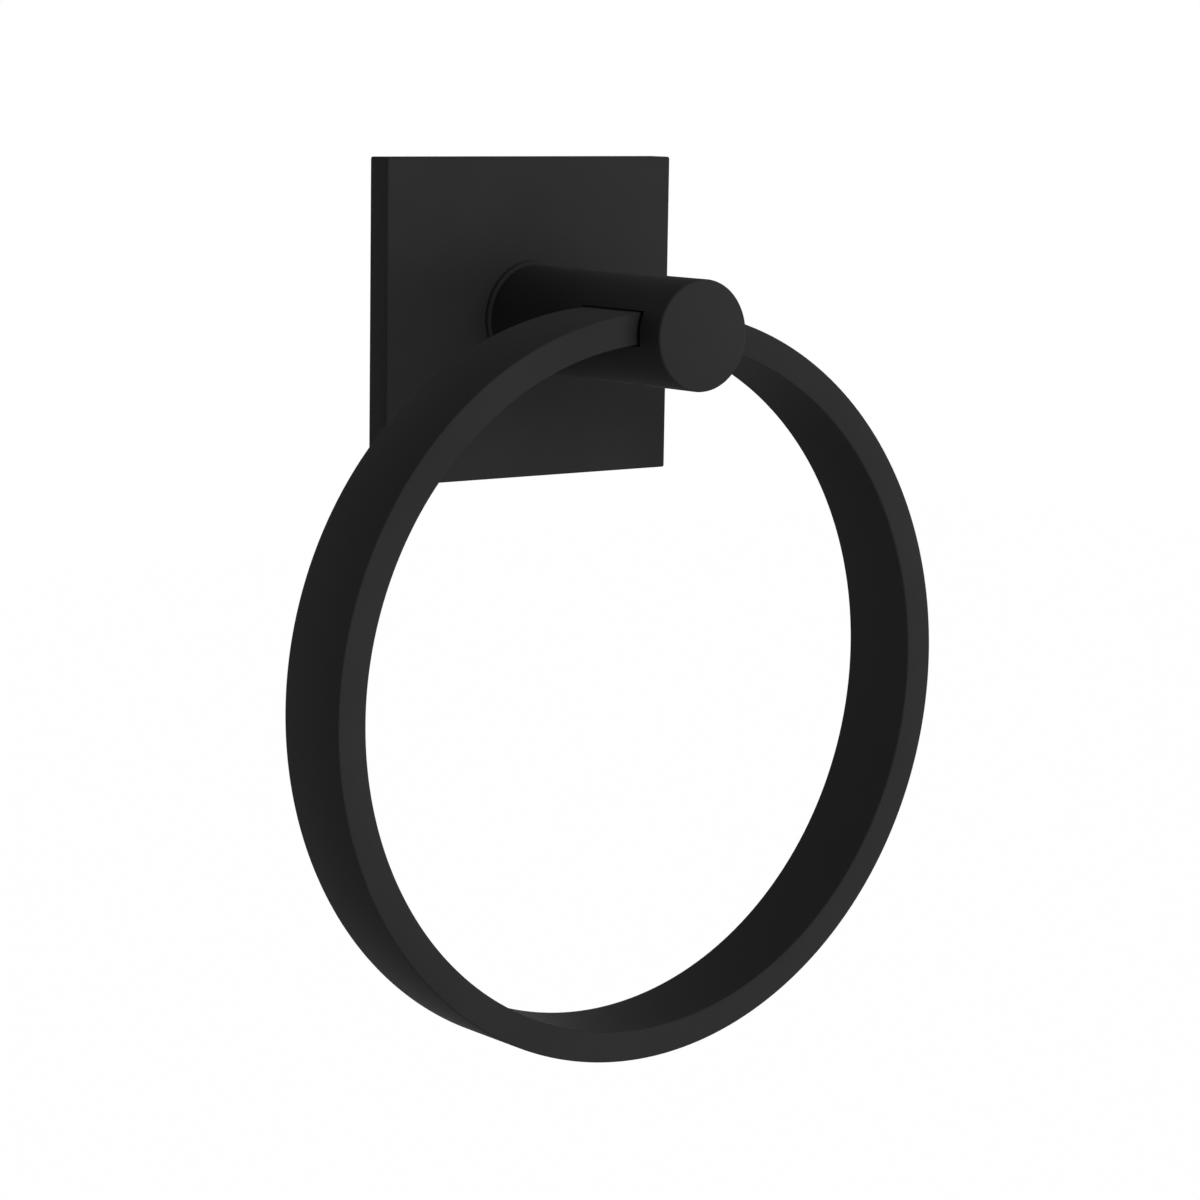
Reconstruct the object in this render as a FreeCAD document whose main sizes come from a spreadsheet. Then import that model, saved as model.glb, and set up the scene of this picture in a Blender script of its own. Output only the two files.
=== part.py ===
# Towel ring for a bathroom wall, in millimetres.
# A shallow square-cornered plate hooks over a hidden wall bracket. A round post stands out of the plate,
# and a ring of flat bar passes through an arc-shaped slot near the post's free end.
# The origin is the centre of the plate's back, on the wall. +Z is up, and the front faces -Y.

import FreeCAD, Part
import Sketcher
import os

doc = FreeCAD.newDocument("towel_ring")
V = FreeCAD.Vector

# Sizes

SIZES = [
    # plate
    ("plate_width", 66.0),
    ("plate_height", 60.0),
    ("plate_depth", 5.4),
    ("plate_rim", 2.5),
    ("plate_cavity", 3.2),
    ("edge_round", 0.4),
    ("ledge_width", 28.0),
    ("ledge_depth", 1.1),
    ("ledge_drop", 3.5),
    # bracket of folded sheet behind the plate
    ("sheet", 1.4),
    ("bracket_width", 44.0),
    ("bracket_corner", 3.0),
    ("tab_width", 32.0),
    ("tab_gap", 0.4),
    ("tab_rise", 5.1),
    ("lip_width", 20.0),
    ("lip_reach", 2.9),
    ("lip_gap", 1.5),
    ("wall_slot_spacing", 30.0),
    ("wall_slot_radius", 2.3),
    ("wall_slot_length", 8.0),
    ("head_clearance_radius", 6.8),
    # screw under the plate that holds it on the bracket
    ("catch_screw_radius", 1.25),
    ("catch_screw_y", 1.9),
    ("catch_screw_tip_radius", 0.4),
    ("catch_dimple_radius", 0.75),
    # post and collar
    ("post_radius", 10.0),
    ("post_reach", 55.8),
    ("post_edge", 0.4),
    ("collar_radius", 11.1),
    ("collar_thickness", 0.9),
    ("collar_edge", 0.2),
    # bolt and spring washer that hold the post
    ("bolt_radius", 3.0),
    ("bolt_head_radius", 5.25),
    ("bolt_head_height", 1.9),
    ("bolt_stop", 32.5),
    ("washer_radius", 5.6),
    ("washer_thickness", 0.9),
    ("washer_split", 1.2),
    # ring of flat bar
    ("ring_radius", 68.3),
    ("bar_thickness", 5.7),
    ("bar_width", 16.5),
    ("bar_edge", 0.3),
    ("ring_setback", 6.6),
    ("ring_rise", 4.0),
    ("ring_split", 2.6),
    # degrees that the post is turned on its bolt, as photographed; at 0 the ring hangs plumb
    ("ring_turn", 4.0),
    # slot in the post and the screw that locks the ring
    ("slot_clearance", 0.3),
    ("slot_front_gap", 1.0),
    ("lock_screw_radius", 2.5),
    ("lock_point_radius", 1.15),
    ("lock_point_top", 3.6),
    # room left round screws and bolts
    ("fit_gap", 0.05),
    ("hole_gap", 0.2),
]

# Places that follow from the sizes

PLACES = {
    # how far the bracket reaches from the middle of the plate
    "tab_top": "(plate_height / 2 - plate_rim - tab_gap)",
    "bracket_top": "(plate_height / 2 - plate_rim - tab_gap - tab_rise)",
    "bracket_bottom": "(plate_height / 2 - plate_rim - lip_gap)",
    # how far the ring's front and the bolt's end are from the wall
    "ring_front": "(post_reach - ring_setback)",
    "bolt_end": "(post_reach - bolt_stop)",
    # how far the ring's centre is below the post's axis
    "ring_drop": "(ring_radius - ring_rise)",
}

sizes = doc.addObject("Spreadsheet::Sheet", "sizes")
for row, (alias, value) in enumerate(SIZES, start=1):
    sizes.set("A%d" % row, alias)
    sizes.set("B%d" % row, str(value))
    sizes.setAlias("B%d" % row, alias)
doc.recompute()

FORWARD = FreeCAD.Rotation(V(1, 0, 0), 90)  # a turned form's axis points out of the wall
UPRIGHT = FreeCAD.Rotation()


def formula(text):
    """Lets a formula use the sizes and places by their bare names."""
    words = []
    for word in text.replace("(", " ( ").replace(")", " ) ").split():
        if word in PLACES:
            words.append(formula(PLACES[word]))
        elif word[0].isalpha():
            words.append("sizes." + word)
        else:
            words.append(word)
    return " ".join(words)


def bind(item, settings):
    for name, text in settings.items():
        item.setExpression(name, formula(text))


def place(item, x, y, z, turn=UPRIGHT):
    item.Placement = FreeCAD.Placement(V(0, 0, 0), turn)
    bind(item, {"Placement.Base.x": x, "Placement.Base.y": y, "Placement.Base.z": z})


def new_body(label):
    body = doc.addObject("PartDesign::Body", label)
    body.Label = label
    return body


def block(body, kind, name, size, corner):
    """A block given by its three lengths and its lowest corner. kind is Additive or Subtractive."""
    item = body.newObject("PartDesign::%sBox" % kind, name)
    bind(item, {"Length": size[0], "Width": size[1], "Height": size[2]})
    place(item, *corner)
    doc.recompute()
    return item


def rod(body, kind, name, radius, length, base, turn=FORWARD):
    """A round rod or hole from base along its axis."""
    item = body.newObject("PartDesign::%sCylinder" % kind, name)
    bind(item, {"Radius": radius, "Height": length})
    place(item, *base, turn)
    doc.recompute()
    return item


def hex_socket(body, name, key_radius, depth, base, turn=FORWARD):
    item = body.newObject("PartDesign::SubtractivePrism", name)
    item.Polygon = 6
    bind(item, {"Circumradius": key_radius, "Height": depth})
    place(item, *base, turn)
    doc.recompute()
    return item


def edges_where(item, test):
    """The names of the edges whose middle and ends all pass the test, which is given the item's box too."""
    box = item.Shape.BoundBox
    names = []
    for number, edge in enumerate(item.Shape.Edges, start=1):
        middle = edge.valueAt((edge.FirstParameter + edge.LastParameter) / 2)
        if all(test(point, box) for point in [middle] + [v.Point for v in edge.Vertexes]):
            names.append("Edge%d" % number)
    return names


def at_front(point, box):
    return point.y < box.YMin + 0.01


def at_front_or_back(point, box):
    return at_front(point, box) or point.y > box.YMax - 0.01


def at_corners(point, box):
    """The four edges that run from front to back at a sheet's corners."""
    at_side = abs(point.x) > box.XMax - 0.01
    return at_side and (point.z < box.ZMin + 0.01 or point.z > box.ZMax - 0.01)


def round_edges(body, name, item, test, radius):
    rounded = body.newObject("PartDesign::Fillet", name)
    rounded.Base = (item, edges_where(item, test))
    bind(rounded, {"Radius": radius})
    doc.recompute()
    return rounded


def bevel_edges(body, name, item, test, width):
    bevel = body.newObject("PartDesign::Chamfer", name)
    bevel.Base = (item, edges_where(item, test))
    bind(bevel, {"Size": width})
    doc.recompute()
    return bevel


# Wall plate: a shallow cover, open at the back, with a ledge that hooks behind the bracket's tab

plate = new_body("wall_plate")
slab = block(
    plate,
    "Additive",
    "plate_slab",
    ("plate_width", "plate_depth", "plate_height"),
    ("-1 * plate_width / 2", "-1 * plate_depth", "-1 * plate_height / 2"),
)
# the four edges that lie on the wall stay sharp
round_edges(
    plate,
    "plate_soft_edges",
    slab,
    lambda point, box: at_front(point, box) or at_corners(point, box),
    "edge_round",
)
block(
    plate,
    "Subtractive",
    "plate_hollow",
    ("plate_width - 2 * plate_rim", "plate_cavity + 1", "plate_height - 2 * plate_rim"),
    ("plate_rim - plate_width / 2", "-1 * plate_cavity", "plate_rim - plate_height / 2"),
)
block(
    plate,
    "Additive",
    "hook_ledge",
    ("ledge_width", "ledge_depth", "ledge_drop + 0.1"),
    ("-1 * ledge_width / 2", "-1 * ledge_depth", "plate_height / 2 - plate_rim - ledge_drop"),
)
rod(
    plate,
    "Subtractive",
    "plate_bolt_hole",
    "bolt_radius + hole_gap",
    "plate_depth",
    ("0", "-1", "0"),
)
rod(
    plate,
    "Subtractive",
    "catch_screw_hole",
    "catch_screw_radius + fit_gap",
    "plate_rim + 2",
    ("0", "-1 * catch_screw_y", "-1 * plate_height / 2 - 1"),
    UPRIGHT,
)

# Wall bracket: folded sheet with a tab set forward at the top and a lip at the bottom

bracket = new_body("wall_bracket")
web = block(
    bracket,
    "Additive",
    "bracket_web",
    ("bracket_width", "sheet", "bracket_top + bracket_bottom"),
    ("-1 * bracket_width / 2", "-1 * sheet", "-1 * bracket_bottom"),
)
round_edges(
    bracket,
    "bracket_round_corners",
    web,
    at_corners,
    "bracket_corner",
)
block(
    bracket,
    "Additive",
    "bracket_tab",
    ("tab_width", "sheet", "tab_top - bracket_top + sheet"),
    ("-1 * tab_width / 2", "-2 * sheet", "bracket_top - sheet"),
)
block(
    bracket,
    "Additive",
    "bracket_lip",
    ("lip_width", "lip_reach - sheet", "sheet"),
    ("-1 * lip_width / 2", "-1 * lip_reach", "-1 * bracket_bottom"),
)
rod(
    bracket,
    "Subtractive",
    "bracket_head_hole",
    "head_clearance_radius",
    "3 * sheet",
    ("0", "sheet", "0"),
)
for side, sign in (("left", "-1"), ("right", "1")):
    middle = "%s * wall_slot_spacing / 2" % sign
    reach = "(wall_slot_length / 2 - wall_slot_radius)"
    for end, step in (("inner", "-1"), ("outer", "1")):
        rod(
            bracket,
            "Subtractive",
            "%s_slot_%s_end" % (side, end),
            "wall_slot_radius",
            "3 * sheet",
            ("%s + %s * %s" % (middle, step, reach), "sheet", "0"),
        )
    block(
        bracket,
        "Subtractive",
        "%s_slot_middle" % side,
        ("wall_slot_length - 2 * wall_slot_radius", "3 * sheet", "2 * wall_slot_radius"),
        ("%s - %s" % (middle, reach), "-2 * sheet", "-1 * wall_slot_radius"),
    )
rod(
    bracket,
    "Subtractive",
    "catch_dimple",
    "catch_dimple_radius",
    "sheet + 1",
    ("0", "-1 * catch_screw_y", "-1 * bracket_bottom - 0.5"),
    UPRIGHT,
)

# Catch screw: goes up through the plate's lower rim, and its point stands in the bracket's lip

catch_screw = new_body("catch_screw")
rod(
    catch_screw,
    "Additive",
    "catch_screw_shank",
    "catch_screw_radius",
    "plate_height / 2 - bracket_bottom - 0.9",
    ("0", "-1 * catch_screw_y", "0.2 - plate_height / 2"),
    UPRIGHT,
)
catch_tip = catch_screw.newObject("PartDesign::AdditiveCone", "catch_screw_tip")
bind(catch_tip, {"Radius1": "catch_screw_radius", "Radius2": "catch_screw_tip_radius", "Height": "1.1"})
place(catch_tip, "0", "-1 * catch_screw_y", "-1 * bracket_bottom - 0.7")
doc.recompute()
hex_socket(
    catch_screw,
    "catch_screw_socket",
    "0.6 * catch_screw_radius",
    "1.5",
    ("0", "-1 * catch_screw_y", "0.2 - plate_height / 2"),
    UPRIGHT,
)

# Collar: a thin round washer between the plate and the post

collar = new_body("post_collar")
collar_disc = rod(
    collar,
    "Additive",
    "collar_disc",
    "collar_radius",
    "collar_thickness",
    ("0", "-1 * plate_depth", "0"),
)
bevel_edges(
    collar,
    "collar_bevel",
    collar_disc,
    at_front,
    "collar_edge",
)
rod(
    collar,
    "Subtractive",
    "collar_bolt_hole",
    "bolt_radius + hole_gap",
    "3 * collar_thickness",
    ("0", "collar_thickness - plate_depth", "0"),
)

# Post: round bar with a tapped rear end, and a slot that follows the ring right through it

post = new_body("post")
bar = rod(
    post,
    "Additive",
    "post_bar",
    "post_radius",
    "post_reach - plate_depth - collar_thickness",
    ("0", "-1 * plate_depth - collar_thickness", "0"),
)
bevel_edges(
    post,
    "post_broken_edge",
    bar,
    at_front,
    "post_edge",
)

slot_outline = post.newObject("Sketcher::SketchObject", "slot_outline")
front_plane = [item for item in post.Origin.OriginFeatures if item.Role == "XZ_Plane"][0]
slot_outline.AttachmentSupport = [(front_plane, "")]
slot_outline.MapMode = "FlatFace"
bind(slot_outline, {"AttachmentOffset.Base.z": "ring_front + slot_front_gap"})
slot_curves = {
    "outer_curve": "ring_radius + slot_clearance",
    "inner_curve": "ring_radius - bar_thickness - slot_clearance",
}
# each curve is a circle round the ring's centre, straight below the post's middle
for number, (name, radius) in enumerate(slot_curves.items()):
    first_radius = 70 - 6 * number
    slot_outline.addGeometry(Part.Circle(V(0, -64, 0), V(0, 0, 1), first_radius))
    slot_outline.addConstraint(Sketcher.Constraint("PointOnObject", number, 3, -2))
    drop = Sketcher.Constraint("DistanceY", number, 3, -1, 1, 64)
    slot_outline.renameConstraint(slot_outline.addConstraint(drop), name + "_drop")
    size = Sketcher.Constraint("Radius", number, first_radius)
    slot_outline.renameConstraint(slot_outline.addConstraint(size), name + "_radius")
    slot_outline.setExpression("Constraints.%s_drop" % name, formula("ring_drop"))
    slot_outline.setExpression("Constraints.%s_radius" % name, formula(radius))
doc.recompute()
slot = post.newObject("PartDesign::Pocket", "ring_slot")
slot.Profile = slot_outline
bind(slot, {"Length": "bar_width + slot_front_gap + slot_clearance"})
doc.recompute()
rod(
    post,
    "Subtractive",
    "post_bolt_hole",
    "bolt_radius + fit_gap",
    "bolt_end - plate_depth + 3",
    ("0", "-1 * plate_depth", "0"),
)
rod(
    post,
    "Subtractive",
    "lock_screw_hole",
    "lock_screw_radius + fit_gap",
    "post_radius + 1",
    ("0", "bar_width / 2 - ring_front", "-1 * post_radius - 1"),
    UPRIGHT,
)

# Bolt and spring washer: reach from the plate's hollow into the post

bolt = new_body("post_bolt")
rod(
    bolt,
    "Additive",
    "bolt_head",
    "bolt_head_radius",
    "bolt_head_height",
    ("0", "washer_thickness + bolt_head_height - plate_cavity", "0"),
)
rod(
    bolt,
    "Additive",
    "bolt_shank",
    "bolt_radius",
    "bolt_end - plate_cavity + washer_thickness",
    ("0", "washer_thickness - plate_cavity", "0"),
)
hex_socket(
    bolt,
    "bolt_socket",
    "0.75 * bolt_radius",
    "1.3",
    ("0", "washer_thickness + bolt_head_height - plate_cavity", "0"),
)

washer = new_body("spring_washer")
rod(
    washer,
    "Additive",
    "washer_disc",
    "washer_radius",
    "washer_thickness",
    ("0", "washer_thickness - plate_cavity", "0"),
)
rod(
    washer,
    "Subtractive",
    "washer_hole",
    "bolt_radius + hole_gap",
    "3 * washer_thickness",
    ("0", "2 * washer_thickness - plate_cavity", "0"),
)
block(
    washer,
    "Subtractive",
    "washer_gap",
    ("washer_split", "3 * washer_thickness", "washer_radius + 1"),
    ("-1 * washer_split / 2", "-1 * plate_cavity - washer_thickness", "-1 * washer_radius - 1"),
)

# Ring: flat bar bent to a circle, its ends a little apart inside the post

ring = new_body("towel_ring")
hoop = rod(
    ring,
    "Additive",
    "ring_hoop",
    "ring_radius",
    "bar_width",
    ("0", "bar_width - ring_front", "-1 * ring_drop"),
)
hollow = rod(
    ring,
    "Subtractive",
    "ring_hollow",
    "ring_radius - bar_thickness",
    "bar_width",
    ("0", "bar_width - ring_front", "-1 * ring_drop"),
)
bevel_edges(
    ring,
    "ring_broken_edges",
    hollow,
    at_front_or_back,
    "bar_edge",
)
block(
    ring,
    "Subtractive",
    "ring_ends_gap",
    ("ring_split", "bar_width + 2", "bar_thickness + 2"),
    ("-1 * ring_split / 2", "-1 * ring_front - 1", "ring_radius - ring_drop - bar_thickness - 1"),
)

# Lock screw: comes up through the post from below, and its point stands between the ring's ends

lock_screw = new_body("ring_lock_screw")
rod(
    lock_screw,
    "Additive",
    "lock_screw_shank",
    "lock_screw_radius",
    "post_radius + ring_rise - bar_thickness - 0.6",
    ("0", "bar_width / 2 - ring_front", "0.45 - post_radius"),
    UPRIGHT,
)
rod(
    lock_screw,
    "Additive",
    "lock_screw_point",
    "lock_point_radius",
    "lock_point_top + 0.5",
    ("0", "bar_width / 2 - ring_front", "ring_rise - bar_thickness - 0.3"),
    UPRIGHT,
)
hex_socket(
    lock_screw,
    "lock_screw_socket",
    "0.58 * lock_screw_radius",
    "3",
    ("0", "bar_width / 2 - ring_front", "0.45 - post_radius"),
    UPRIGHT,
)

# The bolt clamps the post at any angle: the post, the ring and its screw are turned on it together

for body in (post, ring, lock_screw):
    body.Placement = FreeCAD.Placement(V(0, 0, 0), FreeCAD.Rotation(V(0, 1, 0), 1))
    bind(body, {"Placement.Rotation.Angle": "ring_turn"})

# Check every piece and save it

doc.recompute()
os.makedirs("parts", exist_ok=True)
for item in doc.Objects:
    if "Invalid" in item.State or "Error" in item.State:
        raise RuntimeError("%s did not build: %s" % (item.Label, item.State))
for body in (
    plate,
    bracket,
    catch_screw,
    collar,
    post,
    bolt,
    washer,
    ring,
    lock_screw,
):
    shape = body.Shape
    if shape.isNull() or not shape.isValid() or len(shape.Solids) != 1:
        raise RuntimeError("%s is not one sound solid" % body.Label)
    box = shape.BoundBox
    print(
        "%-16s volume %9.1f  x %7.2f %7.2f  y %7.2f %7.2f  z %7.2f %7.2f"
        % (body.Label, shape.Volume, box.XMin, box.XMax, box.YMin, box.YMax, box.ZMin, box.ZMax)
    )
    shape.exportStep("parts/%s.step" % body.Label)
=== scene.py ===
# %% [markdown]
# # A matt black towel ring
#
# The object is a towel ring for a bathroom wall: a flat plate, a thin collar, a round post and a
# ring of flat bar that runs through a slot near the post's end. The solids of all its pieces
# already exist, in metres, with the wall at y = 0 and the front facing -Y. This lesson dresses
# them. It models the four painted pieces again with soft edges, paints them with a fine powder
# coat, gives the hidden steel pieces a finish of their own, and sets up a plain studio.

import math

import bmesh
import bpy
from mathutils import Euler, Matrix, Vector


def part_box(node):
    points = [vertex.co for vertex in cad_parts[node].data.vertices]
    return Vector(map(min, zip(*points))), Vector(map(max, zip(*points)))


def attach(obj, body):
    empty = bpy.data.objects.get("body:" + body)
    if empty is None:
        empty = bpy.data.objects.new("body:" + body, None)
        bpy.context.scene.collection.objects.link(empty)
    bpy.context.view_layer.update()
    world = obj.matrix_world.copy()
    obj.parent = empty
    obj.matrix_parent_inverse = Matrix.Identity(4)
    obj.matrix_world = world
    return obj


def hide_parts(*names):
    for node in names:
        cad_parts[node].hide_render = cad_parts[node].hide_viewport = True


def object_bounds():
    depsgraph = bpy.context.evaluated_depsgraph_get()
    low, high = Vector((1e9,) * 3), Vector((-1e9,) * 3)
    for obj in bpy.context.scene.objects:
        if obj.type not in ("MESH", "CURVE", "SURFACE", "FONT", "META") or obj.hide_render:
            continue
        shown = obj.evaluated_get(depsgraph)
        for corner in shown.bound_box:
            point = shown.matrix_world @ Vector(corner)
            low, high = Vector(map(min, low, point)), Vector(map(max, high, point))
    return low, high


MM = 0.001  # m


def in_mm(lengths):
    """Lengths in metres as numbers of millimetres, for printing."""
    return [round(length / MM, 2) for length in lengths]


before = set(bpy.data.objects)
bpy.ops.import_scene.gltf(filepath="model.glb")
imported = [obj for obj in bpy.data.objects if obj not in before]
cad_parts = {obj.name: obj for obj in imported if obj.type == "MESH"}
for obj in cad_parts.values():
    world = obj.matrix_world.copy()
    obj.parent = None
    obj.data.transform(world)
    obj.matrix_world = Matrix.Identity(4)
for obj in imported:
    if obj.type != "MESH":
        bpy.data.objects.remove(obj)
solid_low, solid_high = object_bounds()
print("solids measure, in mm:", in_mm(solid_high - solid_low))

# %% [markdown]
# ## Helpers for modelling by hand
#
# Blender's operators act on whatever is selected. The helpers below start a piece from a primitive
# with nothing else selected, apply its place so that the object sits at the origin, and select
# faces or edges by where they are, which is how a script does what a hand does with the mouse.


# %% Start a piece
def start_piece(name, primitive, sides=(1, 1, 1), **settings):
    """A primitive, scaled to its sides, with its place and scale then put into its mesh."""
    bpy.ops.object.select_all(action="DESELECT")
    primitive(**settings)
    piece = bpy.context.object
    piece.name = piece.data.name = name
    piece.scale = sides
    bpy.ops.object.transform_apply(location=True, rotation=True, scale=True)
    return piece


def start_block(name, low, high):
    """A block between two corners."""
    low, high = Vector(low), Vector(high)
    return start_piece(
        name,
        bpy.ops.mesh.primitive_cube_add,
        sides=high - low,
        size=1,
        location=(low + high) / 2,
    )


def start_rod(name, radius, start, end, flats):
    """A round rod between two points. Its roundness is made of many narrow flats."""
    start, end = Vector(start), Vector(end)
    return start_piece(
        name,
        bpy.ops.mesh.primitive_cylinder_add,
        vertices=flats,
        radius=radius,
        depth=(end - start).length,
        location=(start + end) / 2,
        rotation=(end - start).to_track_quat("Z", "Y").to_euler(),
    )


# %% Select parts of a piece
NEAR = 0.01 * MM  # a corner this close to a plane lies on it


def choose(piece, kind, test, but=None):
    """In edit mode, selects the faces or edges whose corners all pass a test, but not another."""
    bpy.ops.mesh.select_mode(type=kind)
    bpy.ops.mesh.select_all(action="DESELECT")
    mesh = bmesh.from_edit_mesh(piece.data)
    chosen = 0
    for item in mesh.faces if kind == "FACE" else mesh.edges:
        corners = [corner.co for corner in item.verts]
        if all(map(test, corners)) and not (but and all(map(but, corners))):
            item.select_set(True)
            chosen += 1
    bmesh.update_edit_mesh(piece.data)
    print("on", piece.name, "selected", chosen, kind.lower() + "s")


# %% Combine meshes and finish a piece
SMOOTH_UNDER = math.radians(35)  # faces that meet at less than this are shaded as one


def select_only(piece):
    bpy.ops.object.select_all(action="DESELECT")
    piece.select_set(True)
    bpy.context.view_layer.objects.active = piece


def combine(piece, other, operation):
    """Cuts another mesh away or joins it on, and throws the other one away."""
    select_only(piece)
    change = piece.modifiers.new("change", "BOOLEAN")
    change.operation = operation
    change.solver = "EXACT"
    change.object = other
    bpy.ops.object.modifier_apply(modifier=change.name)
    bpy.data.objects.remove(other, do_unlink=True)


def finish_piece(piece):
    """Shades soft edges smooth, keeps the sharp ones, and hangs the piece on the fixed body."""
    select_only(piece)
    bpy.ops.object.shade_smooth_by_angle(angle=SMOOTH_UNDER)
    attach(piece, "root")
    print(piece.name, "measures, in mm:", in_mm(piece.dimensions))
    print(piece.name, "has", len(piece.data.polygons), "faces")


# %% [markdown]
# ## The wall plate
#
# The real plate is a shallow pressed or cast cover with square corners and edges that are only
# just rounded, and it is hollow behind, so that it can hide its bracket. It could be a plain
# block, but it would look wrong from behind. So a block is inset and pushed in at the back like
# the real one, and its outer edges get a small round bevel.
#
# A new piece has to sit exactly where its solid sits. Typing every size again would work until a
# solid changes, so the outer sizes are read from the box round the solid. Only what a box can't
# tell, such as how deep the hollow is, is written down.

# %% Shape the plate
EDGE_STEPS = 4  # flats across a rounded edge
PLATE_EDGE = 0.4 * MM
RIM = 2.5 * MM
HOLLOW = 3.2 * MM

plate_low, plate_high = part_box("wall_plate")


def at_back(corner):
    return corner.y > plate_high.y - NEAR


def at_plate_corner(corner):
    return abs(corner.x) > plate_high.x - NEAR and abs(corner.z) > plate_high.z - NEAR


plate = start_block("painted_plate", plate_low, plate_high)
bpy.ops.object.mode_set(mode="EDIT")
choose(plate, "FACE", at_back)
bpy.ops.mesh.inset(thickness=RIM, depth=0)
bpy.ops.mesh.extrude_region_move(TRANSFORM_OT_translate={"value": (0, -HOLLOW, 0)})
choose(plate, "EDGE", at_plate_corner, but=at_back)
bpy.ops.mesh.bevel(offset=PLATE_EDGE, segments=EDGE_STEPS)
bpy.ops.object.mode_set(mode="OBJECT")

# %% [markdown]
# ## The plate's ledge and holes
#
# Behind its upper rim the plate has a ledge that hooks over the bracket. A hole in the middle lets
# the post's bolt through, and one in the lower rim takes the small screw that keeps the plate from
# lifting. All three are simple blocks and rods, joined on or cut away. The block that is joined on
# runs a little way into the plate, and a cutter's ends run a little way past what it cuts, so that
# each one passes clean through a surface.

# %% Join the ledge
LEDGE_HALF_WIDTH = 14 * MM
LEDGE_DEPTH = 1.1 * MM
LEDGE_HEIGHT = 3.5 * MM
INTO_RIM = 0.5 * MM

rim_inside = plate_high.z - RIM
ledge = start_block(
    "ledge",
    (-LEDGE_HALF_WIDTH, -LEDGE_DEPTH, rim_inside - LEDGE_HEIGHT),
    (LEDGE_HALF_WIDTH, 0, rim_inside + INTO_RIM),
)
combine(plate, ledge, "UNION")

# %% Drill the plate
BOLT_HOLE_RADIUS = 3.2 * MM
CATCH_HOLE_RADIUS = 1.3 * MM
CATCH_CUTTER_LENGTH = 4 * MM  # enough to come out of the rim into the hollow
PAST = 1 * MM


def bolt_hole(front, back):
    """A cutter for the bolt's hole, through all that lies between front and back."""
    return start_rod(
        "bolt_hole",
        BOLT_HOLE_RADIUS,
        (0, front - PAST, 0),
        (0, back + PAST, 0),
        flats=48,
    )


combine(plate, bolt_hole(plate_low.y, -HOLLOW), "DIFFERENCE")
catch_low, catch_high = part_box("catch_screw")
catch_y = (catch_low.y + catch_high.y) / 2
catch_hole = start_rod(
    "catch_hole",
    CATCH_HOLE_RADIUS,
    (0, catch_y, plate_low.z - PAST),
    (0, catch_y, plate_low.z - PAST + CATCH_CUTTER_LENGTH),
    flats=32,
)
combine(plate, catch_hole, "DIFFERENCE")
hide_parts("wall_plate")
finish_piece(plate)

# %% [markdown]
# ## The collar
#
# A thin round washer stands between the plate and the post. It shows as a very narrow band round
# the post's foot, with a dark line on either side of it. It is a short rod whose front edge is
# well rounded. The photograph shows it a touch slimmer than its solid, so its radius is a third of
# a millimetre less.

# %% Shape the collar
COLLAR_SLIMMER = 0.35 * MM
COLLAR_EDGE = 0.4 * MM


def round_front_edge(rod, front, size):
    """Rounds the edge round a rod's front end."""
    bpy.ops.object.mode_set(mode="EDIT")
    choose(rod, "EDGE", lambda corner: corner.y < front + NEAR)
    bpy.ops.mesh.bevel(offset=size, segments=EDGE_STEPS)
    bpy.ops.object.mode_set(mode="OBJECT")


collar_low, collar_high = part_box("post_collar")
collar = start_rod(
    "painted_collar",
    (collar_high.x - collar_low.x) / 2 - COLLAR_SLIMMER,
    (0, collar_low.y, 0),
    (0, collar_high.y, 0),
    flats=128,
)
round_front_edge(collar, collar_low.y, COLLAR_EDGE)
combine(collar, bolt_hole(collar_low.y, collar_high.y), "DIFFERENCE")
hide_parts("post_collar")
finish_piece(collar)

# %% [markdown]
# ## Where the ring is
#
# The ring and its post are turned a little on the bolt, so the ring's centre isn't straight below
# the post. The ring is open at its top, inside the post, so its centre is measured upwards from
# its lowest point. The angle follows from where the centre lies, and the slot and the screw hole
# in the post take it from here.

# %% Measure the ring
ring_low, ring_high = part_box("towel_ring")
RING_RADIUS = (ring_high.x - ring_low.x) / 2
ring_middle = (ring_low + ring_high) / 2
RING_CENTRE = Vector((ring_middle.x, ring_middle.y, ring_low.z + RING_RADIUS))
POST_TURN = math.atan2(-RING_CENTRE.x, -RING_CENTRE.z)
print("ring radius and centre, in mm:", in_mm([RING_RADIUS]), in_mm(RING_CENTRE))
print("post and ring are turned by", round(math.degrees(POST_TURN), 2), "degrees")

# %% [markdown]
# ## The ring
#
# The real ring is flat bar bent round a former, with its edges just eased, and its two ends meet
# where they can't be seen, inside the post. A cylinder with a smaller one taken out would give the
# form, but spinning the bar's section round the ring's centre is closer to how the bar is bent,
# and gives even faces. The section is a small rectangle with its four corners rounded. It starts
# just beside the top and is spun almost all the way round, so that the two ends stay apart.


# %% Spin a section into a hoop
ENDS_APART = 2.6 * MM


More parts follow.
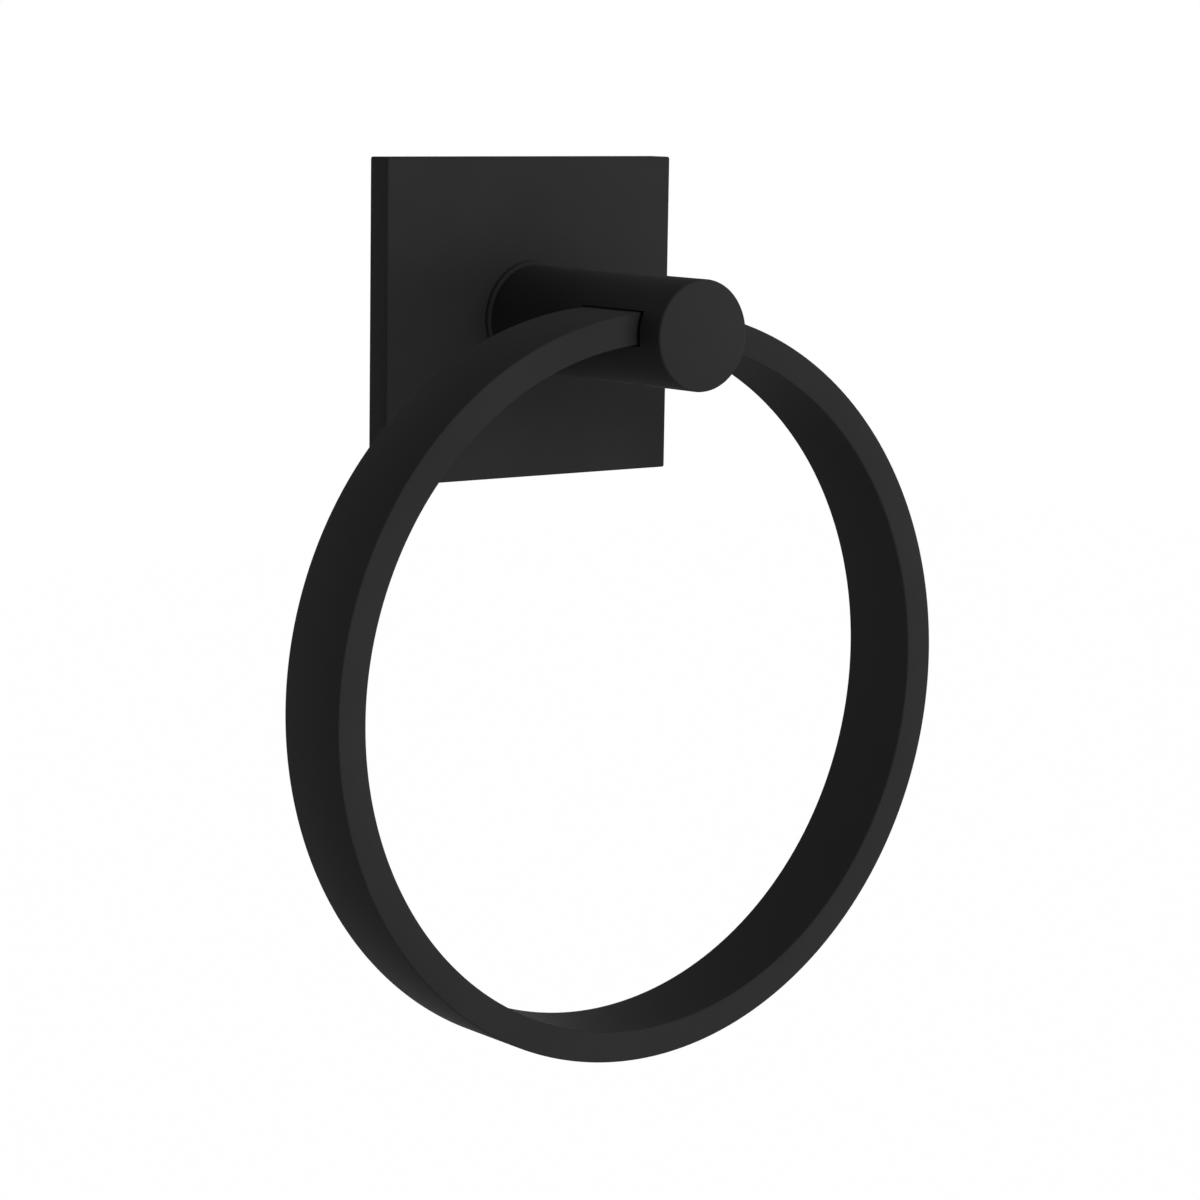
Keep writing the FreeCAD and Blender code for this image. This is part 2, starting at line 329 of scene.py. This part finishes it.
def spin_bar(name, outer, inner, front, back, steps, ends_at, corner=0):
    """Flat bar bent to a hoop, its ends a little apart at an angle counted from its top."""
    mid_radius = (outer + inner) / 2
    half_gap = math.asin(ENDS_APART / 2 / mid_radius)
    turn = Matrix.Rotation(POST_TURN + ends_at + half_gap, 4, "Y")
    facing_along_bar = Euler((math.pi / 2, 0, math.pi / 2)).to_matrix().to_4x4()
    from_centre = Vector((0, (front + back) / 2 - RING_CENTRE.y, mid_radius))
    bar = start_piece(
        name,
        bpy.ops.mesh.primitive_plane_add,
        sides=(back - front, outer - inner, 1),
        size=1,
        location=RING_CENTRE + turn @ from_centre,
        rotation=(turn @ facing_along_bar).to_euler(),
    )
    bpy.ops.object.mode_set(mode="EDIT")
    bpy.ops.mesh.select_all(action="SELECT")
    if corner:
        bpy.ops.mesh.bevel(offset=corner, segments=EDGE_STEPS, affect="VERTICES")
        bpy.ops.mesh.select_all(action="SELECT")
    bpy.ops.mesh.spin(
        steps=steps,
        angle=2 * math.pi - 2 * half_gap,
        center=RING_CENTRE,
        axis=(0, 1, 0),
    )
    bpy.ops.mesh.select_all(action="SELECT")
    bpy.ops.mesh.remove_doubles(threshold=NEAR / 10)
    bpy.ops.mesh.normals_make_consistent(inside=False)
    bpy.ops.object.mode_set(mode="OBJECT")
    return bar


# %% Shape the ring
BAR_THICKNESS = 5.7 * MM
BAR_EDGE = 0.35 * MM

ring = spin_bar(
    "painted_ring",
    outer=RING_RADIUS,
    inner=RING_RADIUS - BAR_THICKNESS,
    front=ring_low.y,
    back=ring_high.y,
    steps=288,
    ends_at=0,
    corner=BAR_EDGE,
)
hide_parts("towel_ring")
finish_piece(ring)

# %% [markdown]
# ## The post
#
# The post is turned from round bar, with a flat end whose edge is just broken. A slot runs right
# through it, and follows the ring so closely that only a dark line shows above the bar, with a
# wider dark gap in front of it. The same spin that makes the ring makes a slightly larger hoop,
# and that hoop cuts the slot. Its own ends are at the bottom, well away from the post. A hole
# from below takes the screw that locks the ring.

# %% Shape the post and cut its slot
POST_EDGE = 0.45 * MM
SLOT_ROOM = 0.3 * MM
SLOT_FRONT_ROOM = 1.0 * MM

post_low, post_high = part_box("post")
POST_RADIUS = (post_high.x - post_low.x) / 2
post = start_rod(
    "painted_post",
    POST_RADIUS,
    (0, post_low.y, 0),
    (0, post_high.y, 0),
    flats=192,
)
round_front_edge(post, post_low.y, POST_EDGE)
slot_cutter = spin_bar(
    "slot_cutter",
    outer=RING_RADIUS + SLOT_ROOM,
    inner=RING_RADIUS - BAR_THICKNESS - SLOT_ROOM,
    front=ring_low.y - SLOT_FRONT_ROOM,
    back=ring_high.y + SLOT_ROOM,
    steps=240,
    ends_at=math.pi,
)
combine(post, slot_cutter, "DIFFERENCE")

# %% Drill the post for its lock screw
LOCK_HOLE_RADIUS = 2.55 * MM

lock_low, lock_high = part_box("ring_lock_screw")
hole_top = Vector((0, (lock_low.y + lock_high.y) / 2, 0))
down = Matrix.Rotation(POST_TURN, 4, "Y") @ Vector((0, 0, -1))
lock_hole = start_rod(
    "lock_hole",
    LOCK_HOLE_RADIUS,
    hole_top,
    hole_top + down * (POST_RADIUS + PAST),
    flats=48,
)
combine(post, lock_hole, "DIFFERENCE")
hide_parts("post")
finish_piece(post)

# %% [markdown]
# ## Colours and nodes
#
# Colours are picked as web colours, which are stored bent for screens, so one function
# turns them into the linear values that light is reckoned in. Another adds a node to a material
# with its settings and its links in one line, which keeps each material readable.


# %% Colour and node helpers
def linear(web):
    """Turns a web colour into linear red, green, blue and alpha."""
    parts = [int(web[i : i + 2], 16) / 255 for i in (1, 3, 5)]
    return [p / 12.92 if p <= 0.04045 else ((p + 0.055) / 1.055) ** 2.4 for p in parts] + [1.0]


def add_node(material, kind, inputs=None, **settings):
    """Adds a node. An input is a value, or a socket of another node to link from."""
    made = material.node_tree.nodes.new("ShaderNode" + kind)
    for name, value in settings.items():
        setattr(made, name, value)
    for name, value in (inputs or {}).items():
        if isinstance(value, bpy.types.NodeSocket):
            material.node_tree.links.new(value, made.inputs[name])
        else:
            made.inputs[name].default_value = value
    return made


def new_material(name):
    material = bpy.data.materials.new(name)
    material.use_nodes = True
    material.node_tree.nodes.clear()
    return material


def wear(material, pieces):
    """Gives pieces a material in place of any that they have."""
    for piece in pieces:
        piece.data.materials.clear()
        piece.data.materials.append(material)
    print(material.name, "is worn by", [piece.name for piece in pieces])


# %% [markdown]
# ## Matt black powder coat
#
# The painted pieces wear baked polyester powder. It is a dull near-black, and close up it has a
# very fine orange peel, which the light picks out as a soft grain. Patterns are made from noise in
# Object coordinates, so that they stay on the surface and need no unwrapping. A noise of scale 1
# has a bump about every metre, so a grain of g metres takes a scale of 1 / g. Most of a noise lies
# between 0.3 and 0.7, so that span is what its colours and its dullness are spread over.

# %% Paint the powder coat
GRAIN = 0.55 * MM  # real powder is nearer 0.2, drawn coarser so that it shows
CLOUD = 30 * MM  # slow change in the film's thickness
PEEL_HEIGHT = 0.02 * MM
NOISE_SPAN = (0.3, 0.7)
POWDER_COLOURS = ("#292929", "#2e2e2e")
POWDER_ROUGHNESS = (0.77, 0.83)

powder = new_material("black_polyester_powder_coat")
place = add_node(powder, "TexCoord").outputs["Object"]
grain = add_node(
    powder,
    "TexNoise",
    {"Vector": place, "Scale": 1 / GRAIN, "Detail": 2.0, "Roughness": 0.5},
)
cloud = add_node(
    powder,
    "TexNoise",
    {"Vector": place, "Scale": 1 / CLOUD, "Detail": 3.0, "Roughness": 0.6},
)
shade = add_node(powder, "ValToRGB", {"Fac": cloud.outputs["Fac"]})
for stop, position, colour in zip(shade.color_ramp.elements, NOISE_SPAN, POWDER_COLOURS):
    stop.position = position
    stop.color = linear(colour)
dullness = add_node(
    powder,
    "MapRange",
    {
        "Value": cloud.outputs["Fac"],
        "From Min": NOISE_SPAN[0],
        "From Max": NOISE_SPAN[1],
        "To Min": POWDER_ROUGHNESS[0],
        "To Max": POWDER_ROUGHNESS[1],
    },
)
peel = add_node(
    powder,
    "Bump",
    {"Height": grain.outputs["Fac"], "Strength": 0.25, "Distance": PEEL_HEIGHT},
)
paint = add_node(
    powder,
    "BsdfPrincipled",
    {
        "Base Color": shade.outputs["Color"],
        "Roughness": dullness.outputs["Result"],
        "Metallic": 0.0,
        "IOR": 1.5,
        "Specular IOR Level": 0.05,
        "Normal": peel.outputs["Normal"],
    },
)
add_node(powder, "OutputMaterial", {"Surface": paint.outputs["BSDF"]})
wear(powder, (plate, collar, ring, post))

# %% [markdown]
# ## Sheet steel and zinc-plated steel
#
# The bracket behind the plate is bare stamped steel with a faint grain along its width, and the
# screws, the bolt and its washer are turned steel with a thin zinc plating. Both are metals, so
# almost all of their look comes from their reflections, and their grain is only a small change in
# roughness. The solids of these pieces are right as they are, so they only get a material.


# %% Make a steel
ROUGHNESS_SWING = 0.08  # how far the grain takes a steel's roughness either way
SCRATCH_DEPTH = 0.01 * MM


def steel(name, dark, light, grain, roughness):
    """Steel with a grain, whose lengths along X, Y and Z are in mm."""
    material = new_material(name)
    place = add_node(material, "TexCoord").outputs["Object"]
    scaled = add_node(
        material,
        "Mapping",
        {"Vector": place, "Scale": [1 / (length * MM) for length in grain]},
    )
    streaks = add_node(
        material,
        "TexNoise",
        {"Vector": scaled.outputs["Vector"], "Scale": 1.0, "Detail": 4.0},
    )
    tone = add_node(material, "ValToRGB", {"Fac": streaks.outputs["Fac"]})
    for stop, position, colour in zip(tone.color_ramp.elements, NOISE_SPAN, (dark, light)):
        stop.position = position
        stop.color = linear(colour)
    dull = add_node(
        material,
        "MapRange",
        {
            "Value": streaks.outputs["Fac"],
            "To Min": roughness - ROUGHNESS_SWING,
            "To Max": roughness + ROUGHNESS_SWING,
        },
    )
    scratch = add_node(
        material,
        "Bump",
        {"Height": streaks.outputs["Fac"], "Strength": 0.2, "Distance": SCRATCH_DEPTH},
    )
    metal = add_node(
        material,
        "BsdfPrincipled",
        {
            "Base Color": tone.outputs["Color"],
            "Metallic": 1.0,
            "Roughness": dull.outputs["Result"],
            "Normal": scratch.outputs["Normal"],
        },
    )
    add_node(material, "OutputMaterial", {"Surface": metal.outputs["BSDF"]})
    return material


# %% Finish the bracket and the fasteners
bracket_steel = steel(
    "stamped_sheet_steel",
    dark="#8f9294",
    light="#a5a8aa",
    grain=(14, 0.8, 0.8),
    roughness=0.38,
)
fastener_steel = steel(
    "zinc_plated_steel",
    dark="#a0a3a4",
    light="#b9bcbe",
    grain=(1.2, 1.2, 1.2),
    roughness=0.3,
)
fasteners = ("catch_screw", "post_bolt", "spring_washer", "ring_lock_screw")
wear(bracket_steel, [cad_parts["wall_bracket"]])
wear(fastener_steel, [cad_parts[name] for name in fasteners])

# %% [markdown]
# ## The studio
#
# The photograph has an even white background and no shadow near the object. Faces to the front are
# the brightest, those that look down are a little darker, and those that look left or up are much
# darker. So the room and the floor are white to the camera and to reflections, while what lights
# the object is one very large soft lamp in front and a weaker one behind on the left, like light
# from a white backdrop. The plate shades the post's foot from that one, so the post grows lighter
# towards its end. A third lamp gives form to the right side. The floor is well below the object,
# as under a wall.

# %% Floor and room
WHITE_TO_EYE = "#ffffff"
ROOM_LIGHT = 0.05
FLOOR_GLOW = 0.995
FLOOR_SIZE = 16  # m
FLOOR_DROP = 1.2  # m, below the object


def add_sight(holder):
    """1 for rays from the eye, in reflections and through glass, and 0 for light on the object."""
    rays = add_node(holder, "LightPath")
    sight = rays.outputs["Is Camera Ray"]
    for other in ("Is Glossy Ray", "Is Transmission Ray"):
        either = add_node(holder, "Math", {0: sight, 1: rays.outputs[other]}, operation="MAXIMUM")
        sight = either.outputs[0]
    return sight


floor = start_piece(
    "floor",
    bpy.ops.mesh.primitive_plane_add,
    size=FLOOR_SIZE,
    location=(0, 0, solid_low.z - FLOOR_DROP),
)
pale = new_material("pale_studio_floor")
diffuse = add_node(pale, "BsdfDiffuse", {"Color": linear("#f4f4f4")})
glow = add_node(pale, "Emission", {"Color": linear(WHITE_TO_EYE), "Strength": 1.0})
seen = add_node(pale, "Math", {0: add_sight(pale), 1: FLOOR_GLOW}, operation="MULTIPLY")
mixed = add_node(
    pale,
    "MixShader",
    {0: seen.outputs[0], 1: diffuse.outputs[0], 2: glow.outputs[0]},
)
add_node(pale, "OutputMaterial", {"Surface": mixed.outputs[0]})
wear(pale, [floor])

room = bpy.data.worlds.new("studio_room")
bpy.context.scene.world = room
room.use_nodes = True
room.node_tree.nodes.clear()
dim = add_node(room, "Background", {"Color": linear("#ffffff"), "Strength": ROOM_LIGHT})
white = add_node(room, "Background", {"Color": linear(WHITE_TO_EYE), "Strength": 1.0})
mixed = add_node(room, "MixShader", {0: add_sight(room), 1: dim.outputs[0], 2: white.outputs[0]})
add_node(room, "OutputWorld", {"Surface": mixed.outputs[0]})
print("floor lies", FLOOR_DROP, "m below the object, and the room lights it at", ROOM_LIGHT)


# %% Lamps
def soft_lamp(name, place, width, watts):
    """A large square lamp that points at the object. Its place and width are in metres."""
    data = bpy.data.lights.new(name, "AREA")
    data.shape = "SQUARE"
    data.size = width
    data.energy = watts
    lamp = bpy.data.objects.new(name, data)
    bpy.context.scene.collection.objects.link(lamp)
    lamp.location = place
    towards = (solid_low + solid_high) / 2 - Vector(place)
    lamp.rotation_euler = towards.to_track_quat("-Z", "Y").to_euler()
    lamp.visible_camera = False
    print(name, "stands", round(towards.length, 2), "m away with", watts, "W")


soft_lamp("front_lamp", place=(0.1, -1.3, 0.08), width=1.2, watts=18.0)
soft_lamp("backdrop_lamp", place=(-0.7, 1.1, 0.0), width=0.9, watts=5.5)
soft_lamp("right_lamp", place=(1.3, -0.1, 0.1), width=0.9, watts=5.5)

# %% [markdown]
# ## The camera
#
# The photograph looks at the object from its left, a little above, through a long lens. The place
# and the turn below were found by matching the edges of the plate, the post and the ring to the
# photograph.

# %% Place the camera
CAMERA_PLACE = (-397.0, -529.3, 45.05)  # mm
CAMERA_TURN = (81.48, -0.90, -38.216)  # degrees about X, Y and Z
LENS = 104.84  # mm
SENSOR_WIDTH = 36  # mm
NEAREST, FARTHEST = 0.01, 50  # m, what the camera can see

view = bpy.data.cameras.new("camera")
view.lens = LENS
view.sensor_width = SENSOR_WIDTH
view.clip_start = NEAREST
view.clip_end = FARTHEST
camera = bpy.data.objects.new("camera", view)
bpy.context.scene.collection.objects.link(camera)
camera.location = Vector(CAMERA_PLACE) * MM
camera.rotation_euler = [math.radians(turn) for turn in CAMERA_TURN]
bpy.context.scene.camera = camera
bpy.context.scene.view_settings.view_transform = "Standard"
print("camera sees", round(math.degrees(view.angle), 1), "degrees across")
